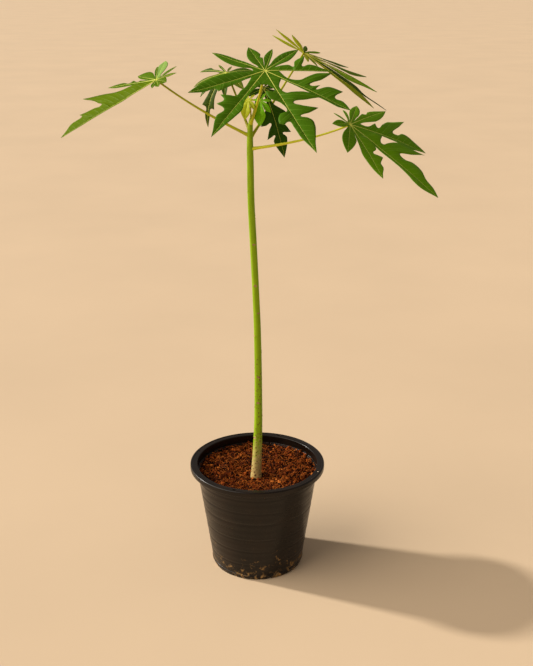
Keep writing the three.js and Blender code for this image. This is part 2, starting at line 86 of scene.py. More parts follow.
def addNode(tree, kind, settings=None, links=None):
    # settings: sockets by name or number, "stops" of a ramp, or the node's own properties
    # links: the sockets they come from, or a node for its first output
    node = tree.nodes.new("ShaderNode" + kind)
    for key, value in (settings or {}).items():
        if key == "stops":
            while len(node.color_ramp.elements) < len(value):
                node.color_ramp.elements.new(0.5)
            for element, (position, colour) in zip(node.color_ramp.elements, value):
                element.position = position
                element.color = colour
        elif isinstance(key, int) or key in node.inputs:
            node.inputs[key].default_value = value
        else:
            setattr(node, key, value)
    for key, source in (links or {}).items():
        tree.links.new(source.outputs[0] if hasattr(source, "outputs") else source, node.inputs[key])
    return node


def startMaterial(name):
    material = bpy.data.materials.new(name)
    material.use_nodes = True
    tree = material.node_tree
    tree.nodes.clear()
    return material, tree, addNode(tree, "TexCoord").outputs["Object"]


def finishMaterial(tree, settings, links):
    shader = addNode(tree, "BsdfPrincipled", settings, links)
    addNode(tree, "OutputMaterial", links={"Surface": shader})


def cloudedMaterial(name, colour, depth, size, detail, settings):
    # One colour that clouds over to depth of itself in patches of this size
    material, tree, place = startMaterial(name)
    clouds = addNode(tree, "TexNoise", {"Scale": perMetre(size), "Detail": detail}, {"Vector": place})
    tone = hexToLinear(colour)
    body = addNode(tree, "Mix", {"data_type": "RGBA", 6: toned(tone, depth), 7: tone}, {0: clouds})
    finishMaterial(tree, settings, {"Base Color": body.outputs[2]})
    return material


def addMesh(name, points, faces, materials, slots=None, smooth=True):
    mesh = bpy.data.meshes.new(name)
    mesh.from_pydata([(x / 1000, y / 1000, z / 1000) for x, y, z in points], [], faces)
    for material in materials:
        mesh.materials.append(material)
    if slots:
        mesh.polygons.foreach_set("material_index", slots)
    mesh.polygons.foreach_set("use_smooth", [smooth] * len(mesh.polygons))
    mesh.update()
    piece = bpy.data.objects.new(name, mesh)
    bpy.context.collection.objects.link(piece)
    return piece


def keep(piece, slot, *nodes):
    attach(piece, "root")
    if nodes:
        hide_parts(*nodes)


def readTable(rows, at):
    # Smooth curve through rows whose first number is the place along it
    last = len(rows) - 1
    i = next((k for k in range(last) if at <= rows[k + 1][0]), last - 1)
    a, b = rows[i], rows[i + 1]
    before, after = rows[max(0, i - 1)], rows[min(last, i + 2)]
    span = b[0] - a[0]
    start, leaving, end, arriving = curveShares(min(1, max(0, (at - a[0]) / span)))
    found = []
    for k in range(1, len(a)):
        leave = (b[k] - before[k]) / (b[0] - before[0]) * span
        arrive = (after[k] - a[k]) / (after[0] - a[0]) * span
        found.append(start * a[k] + leaving * leave + end * b[k] + arriving * arrive)
    return found


def joinRings(rings):
    # Points and faces of a closed tube through rings of the same count
    count = len(rings[0])
    points = [p for ring in rings for p in ring]
    faces = []
    for r in range(len(rings) - 1):
        for k in range(count):
            n = (k + 1) % count
            faces.append((r * count + k, r * count + n, (r + 1) * count + n, (r + 1) * count + k))
    faces.append(tuple(reversed(range(count))))
    faces.append(tuple(range(len(points) - count, len(points))))
    return points, faces


def tube(places, widths, sides, heights=None, ups=None):
    # Rings round a line of places. heights and ups make it an oval lying on a surface.
    rings = []
    side = None
    for i, place in enumerate(places):
        along = (places[min(i + 1, len(places) - 1)] - places[max(i - 1, 0)]).normalized()
        if ups:
            side = along.cross(ups[i]).normalized()
        elif side is None:
            side = along.orthogonal().normalized()
        else:
            side = (side - along * side.dot(along)).normalized()
        up = side.cross(along)
        wide, tall = widths[i], heights[i] if heights else widths[i]
        rings.append([place + side * (wide * math.cos(turn)) + up * (tall * math.sin(turn))
                      for turn in turns(sides)])
    return joinRings(rings)


# Camera, light and floor

studio = {
    "cameraPlace": (0.0137, -1.339, 0.845), "cameraPitch": 70.25, "lens": 54.05,    # place in metres
    # lights as (side they come from, height, spread, power, colour): low sun and the bright open side
    "sun": (162, 25, 4, 3.6, "#fff8ee"), "openSide": (202, 38, 60, 2.05, "#fff3e2"),
    "skyColour": "#fff1e4", "skyPower": 0.27,
    "floorColour": "#dfc6a6", "floorSize": 140,    # size in metres
}


def plasterFloor():
    # Pale lime plaster, floated smooth: matt, with only the faintest clouding, which is painted shade of
    # dappled light
    return cloudedMaterial("lime plaster, floated", studio["floorColour"], 0.86, 500, 4.0,
                           {"Roughness": 0.85, "IOR": 1.5})


def addStudio():
    scene = bpy.context.scene
    camera = bpy.data.objects.new("camera", bpy.data.cameras.new("camera"))
    camera.location = studio["cameraPlace"]
    camera.rotation_euler = (math.radians(studio["cameraPitch"]), 0, 0)
    camera.data.lens = studio["lens"]
    camera.data.clip_end = 200
    scene.collection.objects.link(camera)
    scene.camera = camera

    for name in ("sun", "openSide"):
        side, height, spread, power, colour = studio[name]
        lamp = bpy.data.objects.new(name, bpy.data.lights.new(name, "SUN"))
        lamp.data.energy = power
        lamp.data.angle = math.radians(spread)
        lamp.data.color = hexToLinear(colour)[:3]
        lamp.rotation_euler = (0, math.radians(90 - height), math.radians(side))
        scene.collection.objects.link(lamp)

    world = bpy.data.worlds.new("studio")
    world.use_nodes = True
    background = world.node_tree.nodes["Background"]
    background.inputs["Color"].default_value = hexToLinear(studio["skyColour"])
    background.inputs["Strength"].default_value = studio["skyPower"]
    scene.world = world
    scene.view_settings.view_transform = "Standard"

    half = studio["floorSize"] * 1000 / 2
    corners = [(-half, -half, 0), (half, -half, 0), (half, half, 0), (-half, half, 0)]
    addMesh("floor", corners, [(0, 1, 2, 3)], [plasterFloor()])


addStudio()
print("camera, light and floor set")


# Nursery pot

pot = {
    "height": 162, "rimRadius": 99.6, "rimWidth": 10.6, "bead": 2.4, "skirt": 8, "wall": 2,
    "baseRadius": 67.5, "topRadius": 90.8, "foot": 7, "footStep": 0.8, "collar": 151, "collarStep": 1.0,
    "ledge": 13, "ledgeStep": 1.4, "floor": 3, "sides": 180, "profileStep": 0.8, "sharpEdge": 40,
    # faint ripples round the body: the heights they lie at, and their shape
    "ripples": (141.7, 118.7, 99.2, 71, 50.2, 26), "rippleDepth": 0.45, "rippleWidth": 1.6,
    "hangers": 4, "hangerAngle": -110, "hangerSize": (2.6, 4.5, 8),
    "drains": 8, "drainAngle": -75, "drainRadius": 3.4, "drainDepth": 14,
    "plastic": "#0e0703", "dust": "#24160b", "mud": "#a8834f", "mudTop": 75, "mudFoot": 4, "mudSplash": 10,
}


def bodyRadius(z):
    return pot["baseRadius"] + (pot["topRadius"] - pot["baseRadius"]) * z / pot["height"]


def rounded(corner, start, end, count=4):
    # A corner turned with a curve from start to end
    a, c, b = Vector(start), Vector(corner), Vector(end)
    shares = [k / count for k in range(count + 1)]
    return [tuple((a * (1 - s) + c * s) * (1 - s) + (c * (1 - s) + b * s) * s) for s in shares]


def potOutline():
    # From the middle of the underside, up the outside, over the rim and down to the middle of the floor
    top, rim, bead = pot["height"], pot["rimRadius"], pot["bead"]
    flange = rim - pot["rimWidth"]
    ledge = top - pot["ledge"]
    skirt = top - pot["skirt"]
    base, foot, collar = pot["baseRadius"], pot["foot"], pot["collar"]
    # Underside, foot and body
    line = [(0, 0), (base - 3, 0)] + rounded((base, 0), (base - 1.2, 0), (base + 0.1, 1.2))
    line += rounded((bodyRadius(foot) + pot["footStep"], foot - 0.6), (bodyRadius(foot) + 0.75, foot - 1.6),
                    (bodyRadius(foot), foot + 0.2))
    z = foot + 1.2
    while z < collar - pot["profileStep"]:
        dip = sum(math.exp(-((z - r) / pot["rippleWidth"]) ** 2) for r in pot["ripples"])
        line.append((bodyRadius(z) - pot["rippleDepth"] * dip + 0.1 * math.sin(z * 0.55), z))
        z += pot["profileStep"]
    # Collar, and the hollow under the rim
    out = bodyRadius(collar) + pot["collarStep"]
    line += rounded((out, collar), (bodyRadius(collar), collar - 0.2), (out + 0.05, collar + 1.2))
    line += rounded((bodyRadius(top) + 1, top - 2.2), (bodyRadius(top) + 0.8, top - 3.6), (94, top - 2))
    line += rounded((rim - 2.6, top - 2), (rim - 4.2, top - 2), (rim - 2.7, skirt + 0.8))
    # Skirt, bead and the rim's flat top
    line += rounded((rim - 2.6, skirt), (rim - 2.6, skirt + 0.7), (rim - 1.6, skirt), 3)
    line += rounded((rim, skirt), (rim - 1.2, skirt), (rim, skirt + 1.4))
    line += rounded((rim, top), (rim, top - bead), (rim - bead, top), 7)
    line += rounded((rim - bead - 0.9, top - 0.1), (rim - bead - 0.3, top), (rim - bead - 1.4, top - 0.6), 3)
    line += rounded((flange, top - 0.5), (flange + 1.6, top - 0.55), (flange, top - 2))
    # Ledge inside, then the inner wall and the floor
    line += rounded((flange, ledge), (flange, ledge + 1.6), (flange - 1.2, ledge))
    wall = bodyRadius(ledge) - pot["wall"]
    inner = wall - pot["ledgeStep"]
    line += rounded((inner, ledge), (wall, ledge), (inner, ledge - 1.6))
    line += [(base - pot["wall"], pot["floor"]), (0, pot["floor"])]
    return line


def turnedFaces(rings, sides, fromBelow):
    # Faces of a closed body round the axis: a point on it, rings of the same count, and a point again
    faces = []
    end = 1 + rings * sides
    for k in range(sides):
        n = (k + 1) % sides
        faces.append((0, 1 + n, 1 + k))
        for a in range(1, end - sides, sides):
            faces.append((a + k, a + n, a + sides + n, a + sides + k))
        faces.append((end, end - sides + k, end - sides + n))
    return faces if fromBelow else [(f[0], *reversed(f[1:])) for f in faces]


def lathe(line, sides):
    # Closed turned body whose first and last points lie on the axis
    rings = [[(*onCircle(r, turn), z) for turn in turns(sides)] for r, z in line[1:-1]]
    points = [(0, 0, line[0][1]), *(p for ring in rings for p in ring), (0, 0, line[-1][1])]
    return points, turnedFaces(len(rings), sides, True)


def mouldedPolypropylene():
    # Polypropylene, injection moulded: near-black satin, a film of dust, dried mud splashed on its foot
    material, tree, place = startMaterial("polypropylene, injection moulded")
    film = addNode(tree, "TexNoise", {"Scale": perMetre(38), "Detail": 5.0, "Roughness": 0.6},
                   {"Vector": place})
    dusty = addNode(tree, "MapRange", {1: 0.42, 2: 0.78, 4: 0.55}, {0: film})
    satin = addNode(tree, "Mix", {"data_type": "RGBA", 6: hexToLinear(pot["plastic"]),
                                  7: hexToLinear(pot["dust"])}, {0: dusty})
    # Mud: thick specks that thin out above the foot
    height = addNode(tree, "SeparateXYZ", links={0: place}).outputs[2]
    low = addNode(tree, "MapRange", {1: pot["mudTop"] / 1000, 2: pot["mudFoot"] / 1000, 3: 0.0, 4: 0.17},
                  {0: height})
    splash = addNode(tree, "TexNoise", {"Scale": perMetre(pot["mudSplash"]), "Detail": 7.0,
                                        "Roughness": 0.72, "Distortion": 0.6}, {"Vector": place})
    amount = addNode(tree, "Math", {"operation": "ADD"}, {0: splash, 1: low})
    muddy = addNode(tree, "MapRange", {1: 0.69, 2: 0.8}, {0: amount})
    colour = addNode(tree, "Mix", {"data_type": "RGBA", 7: hexToLinear(pot["mud"])},
                     {0: muddy, 6: satin.outputs[2]})
    # Sheen: the plastic's flow drawn out round the pot, and dull where there is mud
    drawn = addNode(tree, "Mapping", {"Scale": (0.12, 0.12, 1.0)}, {"Vector": place})
    flow = addNode(tree, "TexNoise", {"Scale": perMetre(6), "Detail": 3.0}, {"Vector": drawn})
    rough = addNode(tree, "MapRange", {1: 0.3, 2: 0.7, 3: 0.24, 4: 0.42}, {0: flow})
    dull = addNode(tree, "Mix", {3: 0.9}, {0: muddy, 2: rough})
    grain = addNode(tree, "TexNoise", {"Scale": perMetre(1.2), "Detail": 2.0}, {"Vector": place})
    skin = addNode(tree, "Bump", {"Strength": 0.12, "Distance": 0.0002}, {"Height": grain})
    crust = addNode(tree, "Bump", {"Strength": 0.6, "Distance": 0.0006},
                    {"Height": muddy, "Normal": skin})
    finishMaterial(tree, {"IOR": 1.49, "Specular IOR Level": 0.3},
                   {"Base Color": colour.outputs[2], "Roughness": dull, "Normal": crust})
    return material


def cutterBody(kind, count, firstAngle, radius, z):
    # Boxes for the hanger holes or rounds for the drain holes, spaced round the pot
    body = bmesh.new()
    for i in range(count):
        turn = math.radians(firstAngle + 360 / count * i)
        place = Matrix.Rotation(turn, 4, "Z") @ Matrix.Translation((radius / 1000, 0, z / 1000))
        if kind == "hanger":
            size = Matrix.Diagonal([s / 1000 for s in pot["hangerSize"]] + [1])
            bmesh.ops.create_cube(body, size=1, matrix=place @ size)
        else:
            r, depth = pot["drainRadius"] / 1000, pot["drainDepth"] / 1000
            bmesh.ops.create_cone(body, cap_ends=True, segments=28, radius1=r, radius2=r, depth=depth,
                                  matrix=place @ Matrix.Rotation(math.pi / 2, 4, "Y"))
    mesh = bpy.data.meshes.new("cutter")
    body.to_mesh(mesh)
    body.free()
    cutter = bpy.data.objects.new("cutter", mesh)
    bpy.context.collection.objects.link(cutter)
    return cutter


def cutWith(piece, cutters):
    for cutter in cutters:
        cut = piece.modifiers.new("cut", "BOOLEAN")
        cut.operation = "DIFFERENCE"
        cut.object = cutter
        cut.solver = "EXACT"
    bpy.context.view_layer.update()
    done = bpy.data.meshes.new_from_object(piece.evaluated_get(bpy.context.evaluated_depsgraph_get()))
    piece.modifiers.clear()
    piece.data = done
    for cutter in cutters:
        bpy.data.objects.remove(cutter)


def addPot():
    points, faces = lathe(potOutline(), pot["sides"])
    piece = addMesh("potShell", points, faces, [mouldedPolypropylene()])
    hangerRadius = pot["rimRadius"] - pot["rimWidth"] / 2
    cutWith(piece, [
        cutterBody("hanger", pot["hangers"], pot["hangerAngle"], hangerRadius, pot["height"]),
        cutterBody("drain", pot["drains"], pot["drainAngle"], pot["baseRadius"] - 1, pot["drainRadius"] / 4),
    ])
    piece.data.set_sharp_from_angle(angle=math.radians(pot["sharpEdge"]))
    keep(piece, "pot", "pot")


addPot()
print("pot made")


# Coir

soil = {
    "level": 142, "rise": 5.6, "lump": 1.4, "waves": ((0.13, 0.11, 1), (0.31, -0.23, 0.6), (0.52, 0.47, 0.4)),
    "seat": 18, "stemX": -1.8, "stemY": -11, "radius": 85, "footRadius": 64.9, "bottom": 3.3,
    "rings": 52, "sides": 190, "crumbRelief": 1.5, "edgeDrop": 2, "edgeLevel": 147, "ledgeLevel": 149.2,
    "clods": 520, "clodSize": (1.1, 3.0), "crumbs": 4800, "crumbSize": (0.5, 1.4),
    "fibres": 1300, "fibreSteps": 8, "spillRadius": 88.2, "stemClearance": 9.5,
    "dark": "#1e0b05", "mid": "#62290d", "warm": "#944616", "pale": "#bd6c2c",
}


def soilHeight(x, y):
    # The surface dips to a flat seat at the stem and is lumpy round it
    fromStem = math.hypot(x - soil["stemX"], y - soil["stemY"])
    wave = sum(size * math.sin(x * across + y * deep) for across, deep, size in soil["waves"])
    away = smoothStep(fromStem, soil["seat"], soil["seat"] * 3)
    return soil["level"] + away * (soil["rise"] + soil["lump"] * wave)


def crumbHeight(x, y):
    at = Vector((x, y, 0))
    relief = noise.noise(at / 7) + 0.7 * noise.noise(at / 3.1) + 0.5 * noise.noise(at / 1.5)
    return soilHeight(x, y) + soil["crumbRelief"] * relief


def crumbledCoir(name, colour, lighter):
    # Coconut coir, chopped and crumbled: dull red-brown grains with pith specks and no shine
    material, tree, place = startMaterial("coconut coir, crumbled, " + name)
    grain = addNode(tree, "TexNoise", {"Scale": perMetre(1.6), "Detail": 4.0, "Roughness": 0.7},
                    {"Vector": place})
    tone = hexToLinear(colour)
    stops = [(0.32, toned(tone, 0.35)), (0.52, tone), (0.72, hexToLinear(lighter))]
    ramp = addNode(tree, "ValToRGB", {"stops": stops}, {0: grain})
    bump = addNode(tree, "Bump", {"Strength": 0.7, "Distance": 0.0005}, {"Height": grain})
    finishMaterial(tree, {"Roughness": 0.95, "IOR": 1.4, "Specular IOR Level": 0.1},
                   {"Base Color": ramp, "Normal": bump})
    return material


coirTones = [
    crumbledCoir("dark", soil["dark"], soil["mid"]),
    crumbledCoir("middle", soil["mid"], soil["warm"]),
    crumbledCoir("warm", soil["warm"], soil["pale"]),
    crumbledCoir("pale", soil["pale"], soil["pale"]),
]


def addSoilBed():
    rings, sides = soil["rings"], soil["sides"]
    points = [(0, 0, crumbHeight(0, 0))]
    for ring in range(1, rings + 1):
        for turn in turns(sides):
            x, y = onCircle(soil["radius"] * ring / rings, turn)
            height = crumbHeight(x, y)
            if ring == rings:
                height = min(height - soil["edgeDrop"], soil["edgeLevel"])
            points.append((x, y, height))
    points += [(*onCircle(soil["footRadius"], turn), soil["bottom"]) for turn in turns(sides)]
    points.append((0, 0, soil["bottom"]))
    keep(addMesh("coirBed", points, turnedFaces(rings + 1, sides, False), coirTones[:1]), "soil", "soil")


def lumpShape(subdivisions):
    body = bmesh.new()
    bmesh.ops.create_icosphere(body, subdivisions=subdivisions, radius=1)
    points = [v.co.copy() for v in body.verts]
    faces = [tuple(v.index for v in f.verts) for f in body.faces]
    body.free()
    return points, faces


def soilPlace(dice, margin):
    # A seeded place on the coir, clear of the stem and by margin of the rim
    while True:
        r = (soil["spillRadius"] - margin) * math.sqrt(dice.random())
        x, y = onCircle(r, dice.uniform(0, 2 * math.pi))
        if math.hypot(x - soil["stemX"], y - soil["stemY"]) > soil["stemClearance"]:
            return x, y, r


def addCoirLumps(name, count, subdivisions, sizes, seed):
    # Rough lumps between two radii, most of them near the smaller one
    dice = random.Random(seed)
    shape, shapeFaces = lumpShape(subdivisions)
    points, faces, slots = [], [], []
    for _ in range(count):
        size = mix(*sizes, dice.random() ** 2.2)
        x, y, r = soilPlace(dice, size)
        ground = soilHeight(x, y) if r > soil["radius"] - 2 else crumbHeight(x, y)
        z = max(ground, soil["ledgeLevel"]) if r > soil["radius"] + size * 0.3 else ground
        centre = Vector((x, y, z + size * dice.uniform(-0.1, 0.5)))
        turn = Matrix.Rotation(dice.uniform(0, 6.28), 3, "Z") @ Matrix.Rotation(dice.uniform(0, 3.14), 3, "X")
        stretch = Vector((dice.uniform(0.9, 1.7), dice.uniform(0.6, 1), dice.uniform(0.5, 0.9)))
        drift = Vector((dice.random(), dice.random(), dice.random())) * 50
        faces += shifted(shapeFaces, len(points))
        for p in shape:
            rough = 1 + 0.75 * noise.noise(p * 1.6 + drift)
            points.append(centre + turn @ Vector([a * b for a, b in zip(p, stretch)]) * (size * rough))
        slots += [dice.choices((0, 1, 2, 3), (4, 5, 3, 1))[0]] * len(shapeFaces)
    keep(addMesh(name, points, faces, coirTones, slots, smooth=False), "soil")


def addCoirFibres():
    # Short curled fibres, each arching a little off the surface
    dice = random.Random(23)
    steps = soil["fibreSteps"]
    points, faces, slots = [], [], []
    for _ in range(soil["fibres"]):
        length = mix(3, 17, dice.random() ** 2.4)
        x, y, _ = soilPlace(dice, length * 0.45 + 3)
        heading = dice.uniform(0, 2 * math.pi)
        curl, arch = dice.uniform(-1.6, 1.6), dice.uniform(0.2, 1) * min(4.2, length * 0.32)
        places = []
        for k in range(steps + 1):
            s = k / steps
            places.append(Vector((x, y, soilHeight(x, y) + 1.2 + arch * math.sin(math.pi * s))))
            x += length / steps * math.cos(heading + curl * s)
            y += length / steps * math.sin(heading + curl * s)
        thick = dice.uniform(0.18, 0.42)
        tubePoints, tubeFaces = tube(places, [thick * (1 - 0.6 * k / steps) for k in range(steps + 1)], 4)
        faces += shifted(tubeFaces, len(points))
        points += tubePoints
        slots += [dice.choices((1, 2, 3), (2, 3, 3))[0]] * len(tubeFaces)
    keep(addMesh("coirFibres", points, faces, coirTones, slots), "soil")


addSoilBed()
addCoirLumps("coirClods", soil["clods"], 2, soil["clodSize"], 5)
addCoirLumps("coirCrumbs", soil["crumbs"], 1, soil["crumbSize"], 11)
addCoirFibres()
print("coir laid")


# Stem

stem = {
    # height, centre across, centre deep, radius
    "rings": [
        [139, -1.8, -11, 8.5], [142.3, -1.8, -11, 8.4], [150, -1.4, -11, 7.6], [183, 0.3, -11, 6.8],
        [244, 1.9, -10.5, 5.8], [364, 1, -10, 5], [434, -1.4, -10, 4.8], [503, -4.6, -10.5, 4.8],
        [558, -7.2, -10.5, 4.7], [606, -7.8, -10.5, 4.5], [628, -8.1, -10.5, 4.3], [650, -7.9, -10.5, 3.7],
        [663, -7, -10.5, 2.8], [669, -6.6, -10.5, 1.3],
    ],
    "step": 1.1, "sides": 52,
    # healed leaf scars: height, side of the stem
    "scars": [(571, 185), (535, 5), (497, -82), (466, 118), (438, -95), (398, -60), (364, 200), (340, 10),
              (330, 100), (302, -88), (283, 170), (262, -100), (240, 40), (222, 125), (206, 215), (190, 65)],
    "scarWidth": 2.5, "scarHeight": 1.7, "scarRim": 0.42, "scarDip": 0.5,
    "pits": 260, "pitSize": 0.95, "pitBottom": 146, "pitTop": 330,
    # every mark's shape, in shares of its size: where its rim stands, how wide rim and dip are, its finish
    "markReach": 2.5, "rimPlace": 1.1, "rimSpread": 0.4, "dipSpread": 0.65, "finishReach": 0.95,
    "tipShares": (1, 0.6), "tipRise": 0.7,
    "fluting": 0.1, "corkRelief": 0.3, "corkFull": 165, "corkTop": 205, "greenFrom": 250, "corkBelow": 150,
    "green": "#6c9004", "lightGreen": "#9cb810", "cork": "#c6aa70", "scar": "#b98e62", "pit": "#7a4a26",
}


def stemAt(z):
    x, y, radius = readTable(stem["rings"], z)
    return Vector((x, y, z)), radius


def youngStemSkin():
    # Papaya stem, living skin: smooth and a little waxy, green, turning to thin grey-buff cork at the foot
    material, tree, place = startMaterial("papaya stem, living skin")
    height = addNode(tree, "SeparateXYZ", links={0: place}).outputs[2]
    drawn = addNode(tree, "Mapping", {"Scale": (1.0, 1.0, 0.12)}, {"Vector": place})
    streak = addNode(tree, "TexNoise", {"Scale": perMetre(3), "Detail": 4.0}, {"Vector": drawn})
    greens = addNode(tree, "Mix", {"data_type": "RGBA", 6: hexToLinear(stem["green"]),
                                   7: hexToLinear(stem["lightGreen"])}, {0: streak})
    patch = addNode(tree, "TexNoise", {"Scale": perMetre(3.6), "Detail": 6.0, "Roughness": 0.75},
                    {"Vector": place})
    rise = addNode(tree, "MapRange", {1: stem["greenFrom"] / 1000, 2: stem["corkBelow"] / 1000, 3: -0.4,
                                      4: 0.35}, {0: height})
    amount = addNode(tree, "Math", {"operation": "ADD"}, {0: patch, 1: rise})
    corky = addNode(tree, "MapRange", {1: 0.42, 2: 0.72, 4: 0.9}, {0: amount})
    colour = addNode(tree, "Mix", {"data_type": "RGBA", 7: hexToLinear(stem["cork"])},
                     {0: corky, 6: greens.outputs[2]})
    bump = addNode(tree, "Bump", {"Strength": 0.35, "Distance": 0.0004}, {"Height": streak})
    finishMaterial(tree, {"Roughness": 0.5, "IOR": 1.45, "Specular IOR Level": 0.2},
                   {"Base Color": colour.outputs[2], "Normal": bump})
    return material


def healedCork(name, colour):
    # Cork grown over a wound: matt, pinkish tan, finely pitted
    return cloudedMaterial("cork, healed over, " + name, colour, 0.6, 0.8, 3.0,
                           {"Roughness": 0.8, "IOR": 1.4})


def stemMarks():
    # Scars and pits as (height, turn, width, height, rim, dip, slot)
    dice = random.Random(41)
    scar = (stem["scarWidth"], stem["scarHeight"], stem["scarRim"], stem["scarDip"], 1)
    marks = [(z, math.radians(side), *scar) for z, side in stem["scars"]]
    for _ in range(stem["pits"]):
        z = mix(stem["pitBottom"], stem["pitTop"], dice.random() ** 1.7)
        size = stem["pitSize"] * dice.uniform(0.6, 1.3)
        marks.append((z, dice.uniform(0, 2 * math.pi), size * 0.8, size, 0.1, 0.25, 2))
    return marks


def stemRing(z, near):
    # One ring of the stem and the finish of each of its faces, with the marks that lie near this height
    centre, radius = stemAt(z)
    top = stem["rings"][-1][0]
    corked = 1 - smoothStep(z, stem["corkFull"], stem["corkTop"])
    ring, slots = [], []
    for turn in turns(stem["sides"]):
        r = radius + stem["fluting"] * math.sin(5 * turn + z / 40) * smoothStep(top - z, 0, 60)
        at = Vector((*onCircle(radius, turn), z))
        r += stem["corkRelief"] * noise.noise(at / 2.4) * corked
        slot = 0
        for height, side, wide, tall, rim, dip, number in near:
            across = math.remainder(turn - side, 2 * math.pi) * radius
            away = math.hypot(across / wide, (z - height) / tall)
            if away < stem["markReach"]:
                r += (rim * math.exp(-((away - stem["rimPlace"]) / stem["rimSpread"]) ** 2)
                      - dip * math.exp(-(away / stem["dipSpread"]) ** 2))
            if away < stem["finishReach"]:
                slot = number
        ring.append(centre + Vector((*onCircle(r, turn), 0)))
        slots.append(slot)
    return ring, slots


def addStem():
    marks, sides = stemMarks(), stem["sides"]
    rings, slots = [], []
    z, top = stem["rings"][0][0], stem["rings"][-1][0]
    while z < top:
        ring, ringSlots = stemRing(z, [mark for mark in marks if abs(mark[0] - z) < 5])
        rings.append(ring)
        slots += ringSlots
        z += stem["step"]
    centre, radius = stemAt(top)
    for share in stem["tipShares"]:
        rings.append([centre + Vector((*onCircle(radius * share, turn), stem["tipRise"] * (1 - share)))
                      for turn in turns(sides)])
    slots += [0] * (sides + 2)    # the tip's own ring of faces and the two ends
    points, faces = joinRings(rings)
    finishes = [youngStemSkin(), healedCork("scar", stem["scar"]), healedCork("pit", stem["pit"])]
    keep(addMesh("stemSkin", points, faces, finishes, slots), "stem", "stem")


addStem()
print("stem grown")


# Leaves, by the rule of the solids drawn finer

# A half lobe's outer edge from its throat to its tip: its reach, which is the part of the gap to the next
# lobe that it takes against that lobe's reach, and its corners as shares of the lobe's length along the
# rib and out from it.
edges = {
    "plain": (7, [(0.25, 0.04), (0.5, 0.05), (0.75, 0.05), (0.9, 0.03)]),
    "sliver": (3, [(0.3, 0.012), (0.6, 0.016), (0.88, 0.01)]),
    "serrate": (8, [(0.2, 0.035), (0.34, 0.065), (0.37, 0.03), (0.5, 0.07), (0.54, 0.03), (0.7, 0.05),
        (0.88, 0.035)]),
    "filled": (8, [(0.2, 0.045), (0.5, 0.085), (0.75, 0.09), (0.9, 0.045)]),
    "lateBroad": (4, [(0.25, 0.03), (0.5, 0.035), (0.68, 0.05), (0.79, 0.08), (0.9, 0.05)]),
    "tailed": (14, [(0.25, 0.06), (0.45, 0.085), (0.6, 0.07), (0.68, 0.035), (0.76, 0.012), (0.9, 0.01)]),
    "midBroad": (12, [(0.3, 0.035), (0.48, 0.045), (0.57, 0.08), (0.7, 0.065), (0.82, 0.04),
        (0.93, 0.015)]),
    "scalloped": (14, [(0.26, 0.065), (0.38, 0.11), (0.45, 0.1), (0.5, 0.065), (0.58, 0.095), (0.73, 0.08),
        (0.9, 0.03)]),
    "broad": (18, [(0.2, 0.065), (0.38, 0.12), (0.6, 0.135), (0.8, 0.09), (0.93, 0.035)]),
    "notched": (12, [(0.25, 0.06), (0.5, 0.085), (0.66, 0.135), (0.67, 0.055), (0.8, 0.05), (0.92, 0.025)]),
    "knobbed": (24, [(0.15, 0.05), (0.25, 0.03), (0.23, 0.09), (0.32, 0.09), (0.39, 0.03), (0.5, 0.03),
        (0.51, 0.08), (0.55, 0.115), (0.6, 0.13), (0.63, 0.1), (0.61, 0.055), (0.68, 0.045), (0.8, 0.04),
        (0.92, 0.015)]),
    "shortToothed": (30, [(0.3, 0.05), (0.36, 0.06), (0.43, 0.06), (0.51, 0.19), (0.55, 0.13), (0.63, 0.16),
        (0.65, 0.07), (0.76, 0.085), (0.82, 0.07), (0.93, 0.025)]),
    "midToothed": (20, [(0.25, 0.12), (0.4, 0.22), (0.5, 0.2), (0.55, 0.1), (0.65, 0.24), (0.7, 0.18),
        (0.75, 0.12), (0.83, 0.12), (0.92, 0.05)]),
    "toothed": (34, [(0.19, 0.12), (0.26, 0.15), (0.31, 0.06), (0.37, 0.19), (0.43, 0.28), (0.52, 0.34),
        (0.62, 0.375), (0.56, 0.24), (0.5, 0.1), (0.56, 0.095), (0.61, 0.13), (0.73, 0.13), (0.8, 0.085),
        (0.91, 0.055)]),
    "longToothed": (34, [(0.2, 0.05), (0.32, 0.15), (0.345, 0.09), (0.42, 0.18), (0.49, 0.26), (0.58, 0.31),
        (0.74, 0.41), (0.665, 0.285), (0.57, 0.09), (0.61, 0.09), (0.68, 0.15), (0.74, 0.15), (0.83, 0.1),
        (0.93, 0.045)]),
    "horned": (34, [(0.27, 0.1), (0.36, 0.1), (0.41, 0.065), (0.43, 0.16), (0.59, 0.31), (0.57, 0.19),
        (0.55, 0.075), (0.63, 0.11), (0.72, 0.1), (0.85, 0.045)]),
    "farToothed": (34, [(0.2, 0.13), (0.39, 0.2), (0.54, 0.31), (0.78, 0.485), (0.61, 0.23), (0.57, 0.12),
        (0.64, 0.155), (0.74, 0.17), (0.8, 0.19), (0.77, 0.135), (0.88, 0.11), (0.94, 0.05)]),
    "twiceToothed": (30, [(0.22, 0.03), (0.29, 0.045), (0.345, 0.18), (0.45, 0.29), (0.43, 0.17),
        (0.43, 0.06), (0.48, 0.11), (0.55, 0.21), (0.575, 0.13), (0.59, 0.05), (0.62, 0.09), (0.66, 0.115),
        (0.72, 0.11), (0.8, 0.08), (0.9, 0.035)]),
    "evenToothed": (34, [(0.24, 0.055), (0.31, 0.12), (0.39, 0.21), (0.49, 0.27), (0.5, 0.18),
        (0.49, 0.085), (0.57, 0.15), (0.69, 0.22), (0.67, 0.13), (0.66, 0.07), (0.73, 0.12), (0.81, 0.105),
        (0.91, 0.055)]),
    "lateToothed": (34, [(0.25, 0.03), (0.36, 0.07), (0.46, 0.25), (0.58, 0.35), (0.55, 0.2), (0.5, 0.06),
        (0.58, 0.11), (0.57, 0.055), (0.66, 0.14), (0.81, 0.17), (0.79, 0.055), (0.87, 0.06),
        (0.95, 0.03)]),
}

